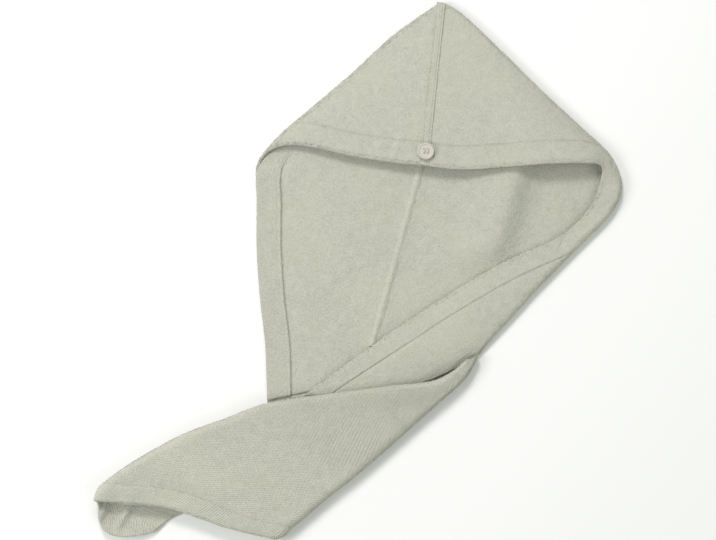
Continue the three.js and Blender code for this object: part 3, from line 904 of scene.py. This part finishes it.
def hem_relief(down, across, weight, seed):
    """The doubled hem stands a little higher, up to a stitched groove with small gathers."""
    swell = smooth(across, 1 * MM, 4 * MM)
    swell *= 1 - smooth(across, STITCH_IN - 1.6 * MM, STITCH_IN - 0.2 * MM)
    groove = bump_at(across, STITCH_IN, 1.1 * MM)
    gathers = np.sin(down / MM * 1.05 + 2.5 * noise(down, across * 0, 30 * MM, seed))
    gathers *= bump_at(across, STITCH_IN - 2 * MM, 7 * MM)
    return weight * (swell * 0.6 * MM - groove * 0.9 * MM + gathers * 0.16 * MM)


def panel(table, side, settings, shape):
    """A panel's middle surface as it lies, its outer relief, and each row's distance to its fold."""
    def surface(at, steps):
        return panel_surface(table, side, at, steps)

    grid = surface(even_places(surface, PANEL_COARSE, settings.rows), PANEL_STEPS)
    fold = lengths_along(grid)[:, PANEL_STEPS[0] + PANEL_STEPS[1] // 2]
    grid = shape(at_distances(grid, NEAR_HEM, settings.columns), fold, settings.seed + 20)
    down, across = cloth_lengths(grid)
    weight = smooth(fold, 22 * MM, 34 * MM)[:, None]
    outer = hem_relief(down, across, weight, settings.seed + 30)
    return grid, (outer, outer * INNER_SHARE), fold


def left_panel(settings):
    """The left half of the hood."""
    return panel(LEFT_PANEL, -1, settings, lie_left)


def right_panel(settings):
    """The right half of the hood."""
    return panel(RIGHT_PANEL, 1, settings, lie_right)


def tail_cloth(settings):
    """The tail's middle surface, its relief and the distances from its hem."""
    at = even_places(tail_surface, TAIL_COARSE, settings.rows + 30, TAIL_DENSE)
    grid = at_distances(tail_surface(at, TAIL_STEPS), NEAR_EDGE, settings.columns - 40)
    down, across = cloth_lengths(grid)
    from_hem = down[-1] - down
    top = smooth(across, 60 * MM, 110 * MM)
    grid[..., 2] += top * 0.9 * MM * noise(grid[..., 0], grid[..., 1], 42 * MM, settings.seed + 40)
    outer = hem_relief(across, from_hem, 1.0, settings.seed + 41)
    under = smooth(np.arange(grid.shape[1]) / grid.shape[1], 0.74, 0.82)[None]
    curl = (1 - smooth(from_hem, 0, MOUTH_DEPTH)) ** 1.4 * under
    curl *= smooth(across[:, -1:] - across, -20 * MM, 30 * MM)
    grid[..., 2] += curl * MOUTH_CURL
    x, y = grid[..., 0], grid[..., 1]
    for start, finish, height, width in MOUTH_FOLDS:
        way = (np.array(finish) - start) * SPAN
        far = np.hypot(*way)
        past = ((x - start[0] * SPAN) * way[0] + (y - start[1] * SPAN) * way[1]) / far
        aside = ((x - start[0] * SPAN) * way[1] - (y - start[1] * SPAN) * way[0]) / far
        on = smooth(past, -6 * MM, 4 * MM) * (1 - smooth(past, far - 4 * MM, far + 8 * MM))
        grid[..., 2] += under * on * bump_at(aside, 0, width) * height
    return grid, (outer, outer * INNER_SHARE), from_hem


def face_of(grid, outside, relief, above):
    """The outer face of a cloth, raised above its pile."""
    return grid + normals_of(grid) * outside * (HALF + relief[0] + above)[..., None]


def strip_grid(grid, outside, first, last, columns, width=HEM_WIDTH):
    """A strip that follows the inner side of a surface, from its hem."""
    lower = grid - normals_of(grid) * outside * HEM_LIFT
    lengths = lengths_along(grid)
    wanted = np.linspace(0, width, columns)
    rows = range(int(first * (len(grid) - 1)), int(last * (len(grid) - 1)) + 1)
    return np.stack([line_at(lower, lengths, row, wanted) for row in rows])


# Pieces

# Each hidden strip on the right: its node, its ends as shares of the panel's rows, and its width.

RIGHT_STRIPS = (
    ("front_hem_right", 0, 0.31, HEM_WIDTH),
    ("side_hem_right", 0.62, 1, 20 * MM),
)
FRONT_LEFT_END = 0.27
STRIP_COLUMNS = 12
STRIP_STEP = 3

# The left band's top end runs on under the lip by these lengths.

BAND_TOP = {"rows": 16, "up": 26 * MM, "aside": 14 * MM, "down": 1.4 * MM}
BAND_COLUMNS = 44
CROWN_CLOTH = 1.1 * MM
RIDGE_CLOTH = 0.5 * MM

# A panel is stitched where its fold is farther from its hem than this.

STITCHED_FROM = 34 * MM

# Loops stand this near a hem, a fold, or the height at the middle of the tail's folds.

PILE_HEM = 3.2 * MM
PILE_TAIL_HEM = 3.5 * MM
PILE_FOLD = 9 * MM
PILE_TAIL_HEIGHT = 9 * MM
PILE_TAIL_SIDE = 5.2 * MM
PILE_LOWEST = 2.4 * MM

# The thread's arch through two holes: places along the button's face and heights over its middle.

THREAD_ARCH = np.array([
    (-1.9, -1.7), (-1.9, 0.9), (-1.3, 1.55), (0, 1.75), (1.3, 1.55), (1.9, 0.9), (1.9, -1.7)]) * MM
THREAD_ASIDE = 1.9 * MM
THREAD_RADIUS = 0.9 * MM


class TOWEL_OT_left_panel(bpy.types.Operator):
    """Makes the left half of the hood, with its hem and pile"""

    bl_idname = "towel.left_panel"
    bl_label = "Left panel"

    def execute(self, context):
        settings = context.scene.towel_cloth
        grid, relief, fold = left_panel(settings)
        made = terry_wall("left_cloth", grid, 1, CLOTH, settings, relief, "Terry")
        declare(made, grid, ["left_panel"])

        below = int(np.argmax(fold < 1 * MM)) / (len(grid) - 1)
        band = strip_grid(grid, 1, below + 0.01, 1, BAND_COLUMNS)
        rise = np.linspace(1, 0, BAND_TOP["rows"], endpoint=False)[:, None]
        above = np.repeat(band[:1], BAND_TOP["rows"], axis=0)
        above[..., 0] += rise ** 2 * BAND_TOP["aside"]
        above[..., 1] += rise * BAND_TOP["up"]
        above[..., 2] -= smooth(rise, 0.1, 0.9) * BAND_TOP["down"]
        band = np.concatenate([above, band])
        across = lengths_along(band)
        lip = bump_at(across, HEM_WIDTH - 1.6 * MM, 1.3 * MM) * 0.5 * MM
        groove = bump_at(across, STITCH_IN - 1.2 * MM, 1.1 * MM) * 0.35 * MM
        edge = np.minimum(across, across[:, -1:] - across)
        made = terry_wall(
            "side_band_left", band, -1, HEM_CLOTH, settings, (lip - groove, lip * 0), "Hem terry", edge)
        declare(made, band, ["side_hem_left"])

        front = strip_grid(grid, 1, 0, FRONT_LEFT_END, STRIP_COLUMNS)
        made = terry_wall(
            "front_band_left", front[::STRIP_STEP], 1, HEM_CLOTH, settings, (0, 0), "Hem terry")
        declare(made, front, ["front_hem_left"])
        return {"FINISHED"}


class TOWEL_OT_right_panel(bpy.types.Operator):
    """Makes the right half of the hood and the side turned over beside it"""

    bl_idname = "towel.right_panel"
    bl_label = "Right panel"

    def execute(self, context):
        settings = context.scene.towel_cloth
        grid, relief, _ = right_panel(settings)
        made = terry_wall("right_cloth", grid, -1, CLOTH, settings, relief, "Terry")
        declare(made, grid, ["right_panel"])
        for name, first, last, width in RIGHT_STRIPS:
            strip = strip_grid(grid, -1, first, last, STRIP_COLUMNS, width)[::STRIP_STEP]
            made = terry_wall(
                name.replace("hem", "band"), strip, -1, HEM_CLOTH, settings, (0, 0), "Hem terry")
            declare(made, strip, [name])
        return {"FINISHED"}


class TOWEL_OT_tail(bpy.types.Operator):
    """Makes the tail folded across the front"""

    bl_idname = "towel.tail"
    bl_label = "Tail"

    def execute(self, context):
        settings = context.scene.towel_cloth
        grid, relief, from_hem = tail_cloth(settings)
        made = terry_wall(
            "tail_cloth", grid, 1, CLOTH, settings, relief, "Tail terry", from_hem, from_hem)
        declare(made, grid, ["tail"])
        return {"FINISHED"}


class TOWEL_OT_seams(bpy.types.Operator):
    """Makes the felled seam outside the hood and the ridge of the seam inside it"""

    bl_idname = "towel.seams"
    bl_label = "Seams"

    def execute(self, context):
        settings = context.scene.towel_cloth
        grid, _, fold = left_panel(settings)
        wanted = np.linspace(0.5 * MM, fold[0] - 3 * MM, 150)
        middle = line_at(grid, lengths_along(grid), 0, wanted)
        middle[:, 0] += SIDE_GAP
        along = np.gradient(middle, axis=0)
        side = unit(np.cross(along, [0, 0, 1.0]))
        up = unit(np.cross(side, along))
        spread = np.linspace(-SEAM_HALF, SEAM_HALF, 25)
        strip = middle[:, None] + side[:, None] * spread[None, :, None]
        strip += up[:, None] * (CLOTH + CROWN_CLOTH) / 2
        across = lengths_along(strip)
        edge = np.minimum(across, across[:, -1:] - across)
        grooves = bump_at(edge, 1.7 * MM, 0.6 * MM) * 0.6 * MM
        made = terry_wall(
            "crown_strip", strip, 1, CROWN_CLOTH, settings, (-grooves, 0 * grooves), "Hem terry", edge)
        ride_as(made, ["crown_seam"])

        x, y = seam_place(np.linspace(0.470, -0.152, 220))
        middle = places(x, y, CLOTH + SEAM_RISE + 0.35 * MM)
        spread = np.linspace(-SEAM_HALF, SEAM_HALF, 21)
        strip = middle[:, None] + np.array([1.0, 0.25, 0]) * spread[None, :, None]
        strip[..., 2] -= 0.8 * MM * (spread / SEAM_HALF) ** 2
        hump = bump_at(spread, 0, 2.6 * MM) * 0.9 * MM + 0 * strip[..., 0]
        # The ridge wears a lighter terry: a painted highlight along its crest.
        made = terry_wall(
            "inner_ridge", strip, -1, RIDGE_CLOTH, settings, (hump, 0 * hump), "Ridge terry")
        ride_as(made, ["inner_seam"])
        return {"FINISHED"}


class TOWEL_OT_stitches(bpy.types.Operator):
    """Makes the rows of stitches in the hems"""

    bl_idname = "towel.stitches"
    bl_label = "Stitches"

    def execute(self, context):
        settings = context.scene.towel_cloth
        lines = []
        for make, outside in ((left_panel, 1), (right_panel, -1)):
            grid, relief, fold = make(settings)
            face = face_of(grid, outside, relief, 0.1 * MM)
            across = lengths_along(grid)
            lines.append([
                line_at(face, across, row, STITCH_IN) for row in np.nonzero(fold > STITCHED_FROM)[0]])
        grid, relief, from_hem = tail_cloth(settings)
        face = face_of(grid, 1, relief, 0.1 * MM)[::-1].swapaxes(0, 1)
        count = len(face)
        lines.append([
            line_at(face, from_hem[::-1].T, column, STITCH_IN) for column in range(count // 3, count - 4)])
        made = repeated("hem_stitches", line_object("lines", lines), stitch_tree(), finish_of("Thread"))
        ride_as(made)
        return {"FINISHED"}


class TOWEL_OT_pile(bpy.types.Operator):
    """Makes the loops that stand out along the edges and folds"""

    bl_idname = "towel.pile"
    bl_label = "Pile"

    def execute(self, context):
        settings = context.scene.towel_cloth
        tree = pile_tree()
        for k, (name, make, outside) in enumerate((
                ("left", left_panel, 1), ("right", right_panel, -1), ("tail", tail_cloth, 1))):
            grid, relief, edge = make(settings)
            face = face_of(grid, outside, relief, -0.1 * MM)
            across = lengths_along(grid)
            if name == "tail":
                near = (edge < PILE_TAIL_HEM) | (np.abs(face[..., 2] - PILE_TAIL_HEIGHT) < PILE_TAIL_SIDE)
            else:
                near = (across < PILE_HEM) | (np.abs(across - edge[:, None]) < PILE_FOLD)
            patch = patch_object("patch", face, near & (face[..., 2] > PILE_LOWEST))
            made = repeated(
                f"pile_{name}", patch, tree, finish_of("Pile terry"), Density=settings.loops,
                Height=LOOP_HEIGHT, Thickness=LOOP_RADIUS, Seed=settings.seed + k)
            ride_as(made)
        return {"FINISHED"}


class TOWEL_OT_button(bpy.types.Operator):
    """Finishes the button and sews it on with two bars of thread"""

    bl_idname = "towel.button"
    bl_label = "Button and thread"

    def execute(self, context):
        button = bpy.data.objects["button"]
        button.data.materials.clear()
        button.data.materials.append(finish_of("Cream"))
        grid, _, _ = left_panel(context.scene.towel_cloth)
        near, far = line_at(grid, lengths_along(grid), 0, np.array([10.5, 19.5]) * MM)
        slope = math.atan2(far[2] - near[2], far[1] - near[1])
        middle = np.mean(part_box("button"), axis=0)
        along = np.array([0, math.cos(slope), math.sin(slope)])
        up = np.array([0, -math.sin(slope), math.cos(slope)])
        parts = []
        for aside in (-THREAD_ASIDE, THREAD_ASIDE):
            start = middle + np.array([aside, 0, 0])
            points = [start + along * past + up * height for past, height in THREAD_ARCH]
            parts.append(tube(points, THREAD_RADIUS, 10))
        made = make_object("button_thread", *joined(parts), None, finish_of("Cream"))
        faces_out(made)
        ride_as(made)
        return {"FINISHED"}


# Stage

FLOOR_HALF = 4
FLOOR_HEIGHT = -0.2 * MM
CAMERA_HEIGHT = 2.2
SENSOR_WIDTH = 36
SHARP_AT = 8 * MM
LAMP_COLOUR = (1, 0.975, 0.985)
WORLD_COLOUR = (0.94, 1, 0.92, 1)
WORLD_STRENGTH = 0.44

# Each lamp's name, place, size in metres and power in watts.

LAMPS = (
    ("Key", (-1.6, -0.1, 1.5), 1.0, 17.6),
    ("Top", (-0.4, 1.5, 1.8), 0.7, 26),
    ("Fill", (1.3, -1.1, 1.5), 1.4, 7),
)


class TOWEL_OT_stage(bpy.types.Operator):
    """Makes the floor, the lights and the camera"""

    bl_idname = "towel.stage"
    bl_label = "Stage"

    def execute(self, context):
        scene = context.scene
        half = FLOOR_HALF
        square = ((-half, -half), (half, -half), (half, half), (-half, half))
        corners = [(x, y, FLOOR_HEIGHT) for x, y in square]
        pale = Shader("Pale floor").finish(Base_Color=(0.95, 0.95, 0.95, 1), Roughness=0.9)
        make_object("floor", corners, [(0, 1, 2, 3)], None, pale)

        for name, place, size, power in LAMPS:
            data = bpy.data.lights.new(name, "AREA")
            data.shape = "DISK"
            data.size = size
            data.energy = power
            data.color = LAMP_COLOUR
            lamp = linked(name, data)
            lamp.location = place
            lamp.rotation_euler = (-Vector(place)).to_track_quat("-Z", "Y").to_euler()

        world = bpy.data.worlds.new("Studio")
        world.use_nodes = True
        background = world.node_tree.nodes["Background"]
        background.inputs["Color"].default_value = WORLD_COLOUR
        background.inputs["Strength"].default_value = WORLD_STRENGTH
        scene.world = world
        scene.view_settings.view_transform = "Standard"

        data = bpy.data.cameras.new("Camera")
        data.sensor_width = SENSOR_WIDTH
        data.lens = SENSOR_WIDTH * (CAMERA_HEIGHT - SHARP_AT) / (PHOTO_WIDTH * PHOTO_PIXEL)
        scene.camera = linked("Camera", data)
        scene.camera.location = (0, 0, CAMERA_HEIGHT)
        return {"FINISHED"}


class TOWEL_PT_panel(bpy.types.Panel):
    """Lists the towel's steps"""

    bl_idname = "TOWEL_PT_panel"
    bl_label = "Hair turban towel"
    bl_space_type = "VIEW_3D"
    bl_region_type = "UI"
    bl_category = "Towel"

    def draw(self, context):
        for settings in (context.scene.towel_cloth, context.scene.towel_fastener):
            for key in settings.__annotations__:
                self.layout.prop(settings, key)
        for step in STEPS:
            self.layout.operator(step.bl_idname)


STEPS = (
    TOWEL_OT_stage,
    TOWEL_OT_left_panel,
    TOWEL_OT_right_panel,
    TOWEL_OT_tail,
    TOWEL_OT_seams,
    TOWEL_OT_stitches,
    TOWEL_OT_pile,
    TOWEL_OT_button,
)
GROUPS = {"towel_cloth": TowelCloth, "towel_fastener": TowelFastener}


def register():
    """Adds the classes and the scene's settings."""
    for group in (*GROUPS.values(), *STEPS, TOWEL_PT_panel):
        bpy.utils.register_class(group)
    for name, group in GROUPS.items():
        setattr(bpy.types.Scene, name, PointerProperty(type=group))


def unregister():
    """Takes the classes and settings away."""
    for name in GROUPS:
        delattr(bpy.types.Scene, name)
    for group in reversed((*GROUPS.values(), *STEPS, TOWEL_PT_panel)):
        bpy.utils.unregister_class(group)


def make_materials():
    """Makes the towel's finishes, from the scene's settings."""
    settings = bpy.context.scene.towel_cloth
    terry_material("Terry", settings, 0.08)
    terry_material("Pile terry", settings, 0)
    terry_material("Tail terry", settings, 0.42, 1.08, True)
    terry_material("Hem terry", settings, 0.12, 0.98)
    # The seam's ridge is painted 4 % lighter than the cloth, as a painted highlight.
    terry_material("Ridge terry", settings, 0.08, 1.04)
    fastener = bpy.context.scene.towel_fastener
    plain_material("Cream", fastener.colour, 0.6, 90.0)
    plain_material("Thread", fastener.thread, 0.8, 900.0)


def main():
    """Builds the towel and its stage."""
    register()
    make_materials()
    for step in STEPS:
        group, name = step.bl_idname.split(".")
        getattr(getattr(bpy.ops, group), name)()


if __name__ == "__main__":
    main()
